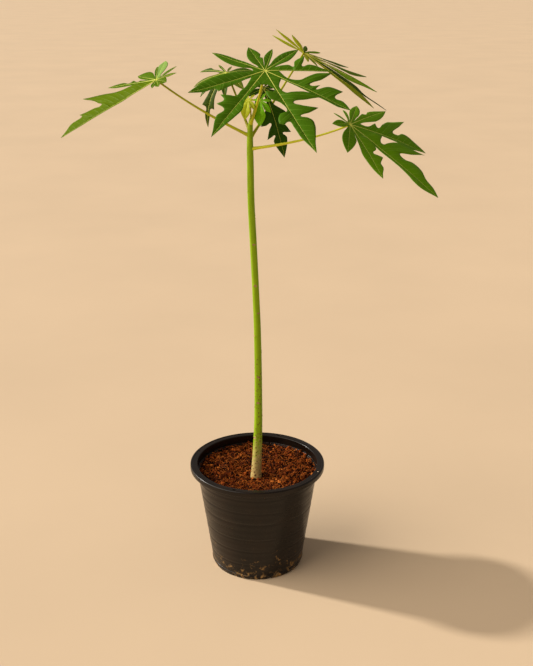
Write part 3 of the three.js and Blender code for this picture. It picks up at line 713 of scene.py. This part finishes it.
# Each leaf: its hub; turn as (facing, slope, roll, fold); stalk as (height on the stem, base radius, tip
# radius, bow); thick as in the solids, 2.4 for a full leaf and 1 for a young one; lobes as (angle, length,
# bend, spread, clockwise edge, anticlockwise edge), where the last three are left out from the end if they
# are usual. The lobes take the upper and the under colours in turn, in the order in which they stand here.
usualLobe = (0, 0, 0, 1, "broad", "broad")
leaves = {
    "front": {
        "hub": (12, -50, 731), "turn": (-90, 35, 0, 0), "thick": 2.4, "stalk": (658, 2, 1.5, 0.4),
        "upper": ["#456e02", "#466e02", "#4a7404", "#446c02"], "under": ["#6d9a30"], "stalkColour": "#c4c420",
        "lobes": [
            (22, 161, -3, 1, "knobbed", "twiceToothed"), (57, 124, 4, 1, "lateBroad", "lateToothed"),
            (92, 86, 5, 1, "sliver", "horned"), (135, 60, 4, 0.95), (168, 44, 3, 1.1, "plain"),
            (205, 51, 3, 1.5, "scalloped"), (244, 75, -2, 1, "plain"),
            (296, 105, -5, 1, "broad", "notched"), (331, 132, 2, 1, "shortToothed", "midBroad"),
        ],
    },
    "right": {
        "hub": (121, -40, 663), "turn": (-30, 32, 13, 0), "thick": 2.4, "stalk": (627, 2.1, 1.3, 0.3),
        "upper": ["#5e8c02", "#588402", "#629004"], "under": ["#6d9a30"], "stalkColour": "#dede34",
        "lobes": [
            (2, 148, 6, 1, "lateBroad", "toothed"), (40, 114, 11, 1, "filled", "longToothed"),
            (85, 82, 5, 1, "broad", "scalloped"), (113, 61, 15, 0.8), (137, 38, 20, 1, "plain", "plain"),
            (177, 28, 11, 1, "plain", "plain"), (233, 25, 10, 2), (304, 54, 10, 1.3),
            (334, 96, 4, 0.75, "broad", "midToothed"),
        ],
    },
    "left": {
        "hub": (-130, 0, 715), "turn": (180, 32, -20, 0), "thick": 2.4, "stalk": (644, 2.1, 1.3, 0.4),
        "upper": ["#566e00", "#4a6602", "#4c6c02", "#3e6002", "#7ea050", "#446402"], "under": ["#7aa030"],
        "stalkColour": "#b4b418", "wax": 0.03, "vein": "#6f8a14",
        "lobes": [
            (-5.5, 154, 0, 0.98, "farToothed", "sliver"), (-45, 101, 0, 0.8, "serrate", "plain"),
            (-62, 53, 0, 1.4, "broad", "plain"), (-99, 37, 0, 1.6, "plain", "plain"), (-117, 42, 0, 1.9),
            (-178, 32, 0, 0.7), (149, 34, 0, 0.7), (117, 28, 0, 1.8), (92, 23, 0, 1.8), (62, 18, 0, 1.8),
        ],
    },
    "upper": {
        "hub": (65, 70, 744.5), "turn": (8, 34, -14, 0), "thick": 2.4, "stalk": (640, 2.1, 1.3, 0.4),
        # Painted light and shade in these lobe colours, upper and under: the darkest greens stand for lobes
        # in shade, and the bright yellows for lobes the low sun shines through, over the leaf's own greens.
        "upper": ["#345204", "#5e7e04", "#588004", "#44660a", "#3a5e06", "#4a6c06", "#4a6c06", "#88980c",
                  "#909f12", "#98a416", "#88960c", "#60840a"],
        "under": ["#2c4a04", "#72860a", "#64900e", "#4c700c", "#3c5e06", "#56780c", "#3c5c08", "#9cae14",
                  "#a4b418", "#9cac16", "#8ea012", "#6a860c"],
        "stalkColour": "#b4b422",
        "lobes": [
            (1, 143, 0, 0.8, "tailed", "plain"), (12, 136, 0, 0.8, "broad", "sliver"),
            (-24, 114, 0, 1.3, "sliver"), (-38, 98, -4, 1.2, "sliver"), (-50, 77, -1, 1, "sliver"),
            (-76, 44, 1, 1, "plain", "plain"), (-105, 30, 0, 0.8), (-139, 42, -5, 0.9), (-179, 49, -8, 0.8),
            (142, 56, -8, 0.7), (58, 32, 0, 0.8), (32, 36, 0, 0.7),
        ],
    },
    "behind": {
        "hub": (-39, 30, 721), "turn": (215, 35, -10, 5), "thick": 2.4, "stalk": (648, 1.9, 1.3, 0.5),
        # Painted shade: these dark upper greens stand for the shade this leaf lies in.
        "upper": ["#384e04", "#365204", "#5a6a04", "#3c5604", "#445e06"], "under": ["#5f7a12"],
        "stalkColour": "#a9a820", "vein": "#5c7810",
        "lobes": [
            (1, 80, 68, 1, "notched", "notched"), (-27, 49, 32, 0.8), (-57, 58, 25, 0.9, "plain", "plain"),
            (-85, 62, 20, 0.8, "midBroad", "plain"), (-107, 30, 5, 1, "plain", "plain"), (-158, 15, 12),
            (34, 38, 45), (78, 42, 30), (128, 36, 20),
        ],
    },
    "lower": {
        "hub": (10, 14, 703), "turn": (-66, 67, -5, 5), "thick": 1.6, "stalk": (655, 1.6, 1.1, 1),
        # Painted shade: these dark upper greens stand for the shade this leaf hangs in, below the front leaf.
        "upper": ["#305602", "#345c04", "#2c5002"], "under": ["#6a9030"],
        "stalkColour": "#9aa820", "vein": "#3e6a08",
        "lobes": [
            (14, 95, 18, 1, "evenToothed", "evenToothed"), (62, 46, 24, 1.1), (-30, 38, 5), (100, 22, 20),
            (-70, 28, 15), (140, 14, 10), (-115, 16, 10),
        ],
    },
    "young_left": {
        "hub": (-9, -18, 692), "turn": (235, 60, 0, 8), "thick": 1, "stalk": (664, 1.1, 0.8, 0.4),
        "upper": ["#a4aa0c", "#989e0a"], "under": ["#bdb820"], "stalkColour": "#b8ba20",
        "lobes": [
            (0, 27, 20, 2), (45, 17, 20, 1.5), (-42, 29, 15, 1.4), (88, 9, 15, 1.2), (-88, 15, 15, 1.4),
            (140, 10, 10, 1.2), (-138, 12, 10, 1.2),
        ],
    },
    "young_right": {
        "hub": (6, -9, 690), "turn": (-110, 68, 0, 8), "thick": 1, "stalk": (661, 1.1, 0.8, 1.2),
        "upper": ["#7cc00e", "#70b20a"], "under": ["#88b434"], "stalkColour": "#a8bc20",
        "lobes": [
            (4, 34, 15, 1.8), (46, 22, 15, 1.3), (-40, 16, 15, 1.2), (92, 15, 15), (-92, 12, 15),
            (150, 12, 10),
        ],
    },
}

blade = {
    "throat": 0.2, "veinAngle": 60, "clearance": 0.5, "widestClearance": 1.2, "sinus": 5,
    "thickness": 0.5, "step": 2.4, "leastSteps": 14, "rows": 7, "corner": 50, "fullLobe": 90,
    # relief: domes and quilting between the veins, a trough along the rib, and a slow wave
    "dome": 0.05, "domeWidth": 26, "gull": 0.13, "gullWidth": 13, "quilt": 0.16, "quiltSpacing": 8,
    "wave": 1.0, "waveSize": 26,
    "ribWidth": 0.74, "ribTip": 0.2, "ribReach": 0.98, "ribSteps": 30,
    "veinWidth": 0.36, "veinTip": 0.14, "veinReach": 0.93, "veinSteps": 7, "veinGap": 8, "veinFrom": 0.08,
    "narrowest": 3, "bedding": 0.45,
    "rib": "#dde266", "vein": "#7fa832",
}


def leafAxes(leaf):
    # The leaf's own axes: out along its facing, to its left, and out of its upper face
    facing, slope, roll = (math.radians(a) for a in leaf["turn"][:3])
    turn = Matrix.Rotation(facing, 3, "Z") @ Matrix.Rotation(slope, 3, "Y") @ Matrix.Rotation(roll, 3, "X")
    return turn.col[0], turn.col[1], turn.col[2]


def readLobes(leaf):
    names = ("angle", "length", "bend", "spread", "right", "left")
    lobes = [dict(zip(names, lobe + usualLobe[len(lobe):]), number=i) for i, lobe in enumerate(leaf["lobes"])]
    return sorted(lobes, key=lambda own: own["angle"])


def halfLobe(lobes, index, side):
    # The half of a lobe on one side: the next lobe, the gap to it, and where the two meet at the throat
    own, other = lobes[index], lobes[(index + side) % len(lobes)]
    between = (other["angle"] - own["angle"]) * side % 360
    outer, facing = ("left", "right") if side > 0 else ("right", "left")
    ownReach, corners = edges[own[outer]]
    ownReach *= own["spread"]
    otherReach = edges[other[facing]][0] * other["spread"]
    return {"own": own, "other": other, "side": side, "between": between, "corners": corners,
            "limit": between * ownReach / (ownReach + otherReach),
            "throat": blade["throat"] * min(own["length"], other["length"])}


def onBlade(leaf, axes, half, x, y):
    # A flat place on a half lobe, x along its rib and y out from it, as a point and the normal there
    out, left, face = axes
    own, other, limit = half["own"], half["other"], half["limit"]
    r = math.hypot(x, y)
    away = math.degrees(math.atan2(y, x))
    past = smoothStep(r, half["throat"], half["throat"] + blade["sinus"])
    if past > 0:
        room = min(blade["widestClearance"], math.degrees(blade["clearance"] / r), limit / 2)
        away = min(away, limit - past * room)
    share = min(1, away / limit)
    ownBend = own["bend"] / own["length"]
    bend = math.radians(ownBend + share * (other["bend"] / other["length"] - ownBend) / 2)
    turned = bend * r
    along = r if abs(bend) < 1e-9 else math.sin(turned) / bend
    drop = 0 if abs(bend) < 1e-9 else (1 - math.cos(turned)) / bend
    fold = math.radians(leaf["turn"][3])
    lift = math.tan(fold) * r * math.sin(math.radians(half["between"] / 2)) * share
    angle = math.radians(own["angle"] + half["side"] * away)
    ray = out * math.cos(angle) + left * math.sin(angle)
    place = Vector(leaf["hub"]) + ray * along + face * (lift - drop)
    return place, face * math.cos(turned) + ray * math.sin(turned)


def smoothEdge(corners, step, sharpest):
    # A line through the corners, rounded in the notches and kept sharp at the teeth
    chords = [(b - a) for a, b in zip(corners, corners[1:])]
    leave, arrive = [], []
    for i in range(len(corners)):
        before, after = chords[max(0, i - 1)], chords[min(i, len(chords) - 1)]
        turn = before.angle_signed(after, 0)
        if i in (0, len(corners) - 1) or turn > math.radians(sharpest):
            arrive.append(before.normalized())
            leave.append(after.normalized())
        else:
            middle = (before.normalized() * after.length + after.normalized() * before.length).normalized()
            arrive.append(middle)
            leave.append(middle)
    line = [(corners[0], False)]
    for i, chord in enumerate(chords):
        count = max(2, round(chord.length / step))
        for k in range(1, count + 1):
            start, leaving, end, arriving = curveShares(k / count)
            at = (start * corners[i] + leaving * chord.length * leave[i]
                  + end * corners[i + 1] + arriving * chord.length * arrive[i + 1])
            tooth = k == count and arrive[i + 1] != leave[i + 1]
            line.append((at, tooth))
    return line


def edgeColumns(half):
    # Places on the half lobe's outline from the hub to the tip, each with where its side vein starts
    length, spread = half["own"]["length"], half["own"]["spread"]
    slant = 1 / math.tan(math.radians(blade["veinAngle"]))
    throat = Vector(onCircle(half["throat"], math.radians(half["limit"])))
    throatVein = throat.x - throat.y * slant
    corners = [throat]
    for along, out in half["corners"]:
        at = Vector((along * length, out * length * spread))
        if at.x > throat.x and at.y * slant < at.x - throatVein:
            corners.append(at)
    corners.append(Vector((length, 0)))
    step = min(blade["step"], length / blade["leastSteps"])
    line = smoothEdge(corners, step, blade["corner"])
    starts = veinStarts([at for at, _ in line], length, slant)
    inner = max(3, round(throat.length / (step * 1.6)))
    columns = [{"edge": throat * (k / inner), "vein": starts[0] * k / inner, "tooth": False}
               for k in range(inner)]
    for (at, tooth), vein in zip(line, starts):
        columns.append({"edge": Vector((at.x, max(0, at.y))), "vein": vein, "tooth": tooth})
    columns[-1]["vein"] = length
    return columns


def veinStarts(line, length, slant):
    # Places on the rib from which the edge is drawn out. Each sees its own stretch of edge, so that the
    # blade never folds over itself at a steep or hooked tooth.
    count = len(line)
    lows, highs = [0.0] * count, [length] * count
    for k, (a, b) in enumerate(zip(line, line[1:])):
        rise = b.y - a.y
        if abs(rise) > 1e-6:
            foot = a.x - a.y * (b.x - a.x) / rise
            for i in (k, k + 1):
                if rise > 0:
                    lows[i] = max(lows[i], foot)
                else:
                    highs[i] = min(highs[i], foot)
    for k in range(count - 2, -1, -1):
        highs[k] = min(highs[k], highs[k + 1])
    starts, low = [], 0.0
    for k, at in enumerate(line):
        low = max(low, lows[k], at.x - max(0, at.y) * slant)
        starts.append(max(0, min(low, highs[k])))
    return starts


def bladePlace(leaf, axes, half, column, share):
    # A place between the rib and the edge with all its relief, and the normal of the flat blade there
    edge, throat = column["edge"], half["throat"]
    x, y = mix(column["vein"], edge.x, share), edge.y * share
    r = math.hypot(x, y)
    place, normal = onBlade(leaf, axes, half, x, y)
    fromHub = smoothStep(r, throat * 0.5, throat * 1.3)
    small = min(1, half["own"]["length"] / blade["fullLobe"])
    dome = blade["dome"] * min(edge.y, blade["domeWidth"]) * math.sin(math.pi * share ** 0.8) * fromHub
    quilt = blade["quilt"] * math.sin(math.pi * share)
    quilt *= math.cos(2 * math.pi * column["vein"] / blade["quiltSpacing"])
    wave = blade["wave"] * small * noise.noise(place / blade["waveSize"]) * smoothStep(r, 8, 50)
    gull = blade["gull"] * min(y, blade["gullWidth"]) * smoothStep(r, throat, throat * 1.6)
    return place + normal * (dome + gull + quilt * small * fromHub + wave), normal


def leafSkin(name, colour, roughness, wax):
    # Papaya blade, living: soft green, a dull wax sheen above, and a paler dull underside with raised veins
    material, tree, place = startMaterial("papaya blade, living, " + name)
    cells = addNode(tree, "TexVoronoi", {"feature": "DISTANCE_TO_EDGE", "Scale": perMetre(3.2)},
                    {"Vector": place})
    net = addNode(tree, "MapRange", {1: 0.0, 2: 0.09, 3: 0.35, 4: 0.0}, {0: cells})
    cloud = addNode(tree, "TexNoise", {"Scale": perMetre(14), "Detail": 3.0}, {"Vector": place})
    tone = hexToLinear(colour)
    body = addNode(tree, "Mix", {"data_type": "RGBA", 6: toned(tone, 0.82), 7: tone}, {0: cloud})
    mixed = addNode(tree, "Mix", {"data_type": "RGBA", 7: toned(tone, 1.25)},
                    {0: net, 6: body.outputs[2]})
    bump = addNode(tree, "Bump", {"Strength": 0.25, "Distance": 0.0003}, {"Height": cells})
    finishMaterial(tree, {"Roughness": roughness, "IOR": 1.42, "Specular IOR Level": wax},
                   {"Base Color": mixed.outputs[2], "Normal": bump})
    return material


def veinSkin(name, colour):
    # Papaya rib, living: firm, smooth and pale, so that it reads as a fine light line
    return cloudedMaterial("papaya rib, living, " + name, colour, 0.8, 5, 2.0,
                           {"Roughness": 0.5, "IOR": 1.45, "Specular IOR Level": 0.2})


def leafSkins(name, leaf):
    # In the order of their slots: upper colours, under colours, rib, side veins
    skins = [leafSkin(name + " upper", colour, 0.55, leaf.get("wax", 0.1)) for colour in leaf["upper"]]
    skins += [leafSkin(name + " under", colour, 0.7, 0.08) for colour in leaf["under"]]
    return skins + [veinSkin(name, blade["rib"]), veinSkin(name + " side", leaf.get("vein", blade["vein"]))]


def layHalf(shape, leaf, axes, part, columns, half, upper, under):
    # Both faces of a half lobe in rows from rib to edge, and the margin that closes it past the throat
    points, faces, slots = shape
    rows = blade["rows"]
    first = len(points)
    for column in columns:
        for row in range(rows + 1):
            place, normal = bladePlace(leaf, axes, part, column, row / rows)
            points += [place + normal * half, place - normal * half]
    for c, column in enumerate(columns[:-1]):
        for row in range(rows + 1):
            a = first + (c * (rows + 1) + row) * 2
            b = a + (rows + 1) * 2
            if row < rows:
                quad = (a, b, b + 2, a + 2) if part["side"] > 0 else (a, a + 2, b + 2, b)
                faces += [quad, tuple(i + 1 for i in reversed(quad))]
                slots += [upper, under]
            elif column["edge"].length > part["throat"] * 0.99:
                faces.append((a, b, b + 1, a + 1) if part["side"] > 0 else (a, a + 1, b + 1, b))
                slots.append(under)


def veinColumns(part, columns):
    # The columns that carry a side vein: at every tooth, and between them where there is room
    length, last = part["own"]["length"], -1e9
    gap = blade["veinGap"] * min(1, length / blade["fullLobe"])
    chosen = []
    for column in columns:
        roomy = column["tooth"] or column["vein"] - last > gap
        if roomy and column["edge"].y > blade["narrowest"] and column["vein"] > length * blade["veinFrom"]:
            chosen.append((part, column))
            last = column["vein"]
    return chosen


def addLeaf(name, leaf):
    axes, lobes = leafAxes(leaf), readLobes(leaf)
    half = blade["thickness"] / 2 * (0.7 if leaf["thick"] < 2 else 1)
    tones, unders = len(leaf["upper"]), len(leaf["under"])
    shape, veins = ([], [], []), []    # points, faces and slots
    steps = blade["ribSteps"]
    shares = [k / steps for k in range(steps + 1)]
    for index, own in enumerate(lobes):
        for side in (-1, 1):
            part = halfLobe(lobes, index, side)
            columns = edgeColumns(part)
            layHalf(shape, leaf, axes, part, columns, half, own["number"] % tones,
                    tones + own["number"] % unders)
            veins += veinColumns(part, columns)
        stops = [s * own["length"] * blade["ribReach"] for s in shares]
        line = [bladePlace(leaf, axes, part, {"edge": Vector((x, 0)), "vein": x}, 0) for x in stops]
        scale = min(1, 0.35 + own["length"] / 150) * (1 if leaf["thick"] > 1 else 0.6)
        widths = [mix(blade["ribWidth"], blade["ribTip"], s ** 0.8) * scale for s in shares]
        addVein(shape, line, widths, half, 6, tones + unders)
    steps = blade["veinSteps"]
    for part, column in veins:
        reaches = [blade["veinReach"] * k / steps for k in range(steps + 1)]
        line = [bladePlace(leaf, axes, part, column, reach) for reach in reaches]
        scale = min(1, 0.4 + part["own"]["length"] / 160)
        widths = [mix(blade["veinWidth"], blade["veinTip"], k / steps) * scale for k in range(steps + 1)]
        addVein(shape, line, widths, half, 4, tones + unders + 1)
    points, faces, slots = shape
    piece = addMesh("blade_" + name, points, faces, leafSkins(name, leaf), slots)
    weld(piece)
    keep(piece, "young_leaf" if leaf["thick"] == 1 else "leaf", "leaf_" + name)


def addVein(shape, line, widths, half, sides, slot):
    # An oval cord bedded in the blade: just proud above, standing out further below
    points, faces, slots = shape
    below = [width * 0.9 for width in widths]
    centres = [place + normal * (half - blade["bedding"] * low) for (place, normal), low in zip(line, below)]
    tubePoints, tubeFaces = tube(centres, widths, sides, below, [normal for _, normal in line])
    faces += shifted(tubeFaces, len(points))
    points += tubePoints
    slots += [slot] * len(tubeFaces)


def weld(piece):
    # Joins the half lobes along their ribs and round the hub, within a hundredth of a millimetre
    body = bmesh.new()
    body.from_mesh(piece.data)
    bmesh.ops.remove_doubles(body, verts=body.verts, dist=1e-5)
    body.to_mesh(piece.data)
    body.free()


# Leaf stalks

stalk = {"steps": 46, "sides": 16, "taperEnd": 0.7, "footFlare": 0.3, "footLength": 4.5, "hubFlare": 0.3,
         "hubLength": 4, "hubKnob": 1.5}


def stalkSkin(name, colour):
    # Papaya stalk, living skin: smooth and waxy, yellow-green, faintly clouded
    return cloudedMaterial("papaya stalk, living skin, " + name, colour, 0.75, 4, 3.0,
                           {"Roughness": 0.42, "IOR": 1.45, "Specular IOR Level": 0.25})


def addStalk(name, leaf):
    out, left, face = leafAxes(leaf)
    height, base, tip, bow = leaf["stalk"]
    foot, stemRadius = stemAt(height)
    hub = Vector(leaf["hub"]) - face * (blade["thickness"] / 2)
    reach = (hub - foot).length
    chord = (hub - foot).normalized()
    rise = (chord - face * (bow / 2)).normalized()
    arrival = (chord + face * bow).normalized()
    knots = [foot, foot + rise * (reach / 3), hub - arrival * (reach / 3), hub]
    steps = stalk["steps"]
    places = geometry.interpolate_bezier(*knots, steps + 1)
    widths = []
    for k, place in enumerate(places):
        fromFoot = (place - foot).length - stemRadius
        fromHub = (hub - place).length
        width = mix(base, tip, min(1, k / steps / stalk["taperEnd"]))
        width *= 1 + stalk["footFlare"] * math.exp(-max(0, fromFoot) / stalk["footLength"])
        widths.append(width * (1 + stalk["hubFlare"] * math.exp(-fromHub / stalk["hubLength"])))
    points, faces = tube(places, widths, stalk["sides"])
    # A low knob where the ribs meet on the upper face
    shape, shapeFaces = lumpShape(3)
    size = stalk["hubKnob"] * tip / 1.5
    faces += shifted(shapeFaces, len(points))
    points += [Vector(leaf["hub"]) + (out * p.x + left * p.y) * size + face * (p.z * 0.45 + 0.1)
               for p in shape]
    keep(addMesh("stalkSkin_" + name, points, faces, [stalkSkin(name, leaf["stalkColour"])]), "stalk",
         "stalk_" + name)


for leafName, leafData in leaves.items():
    addLeaf(leafName, leafData)
    addStalk(leafName, leafData)
print("leaves grown:", len(leaves))
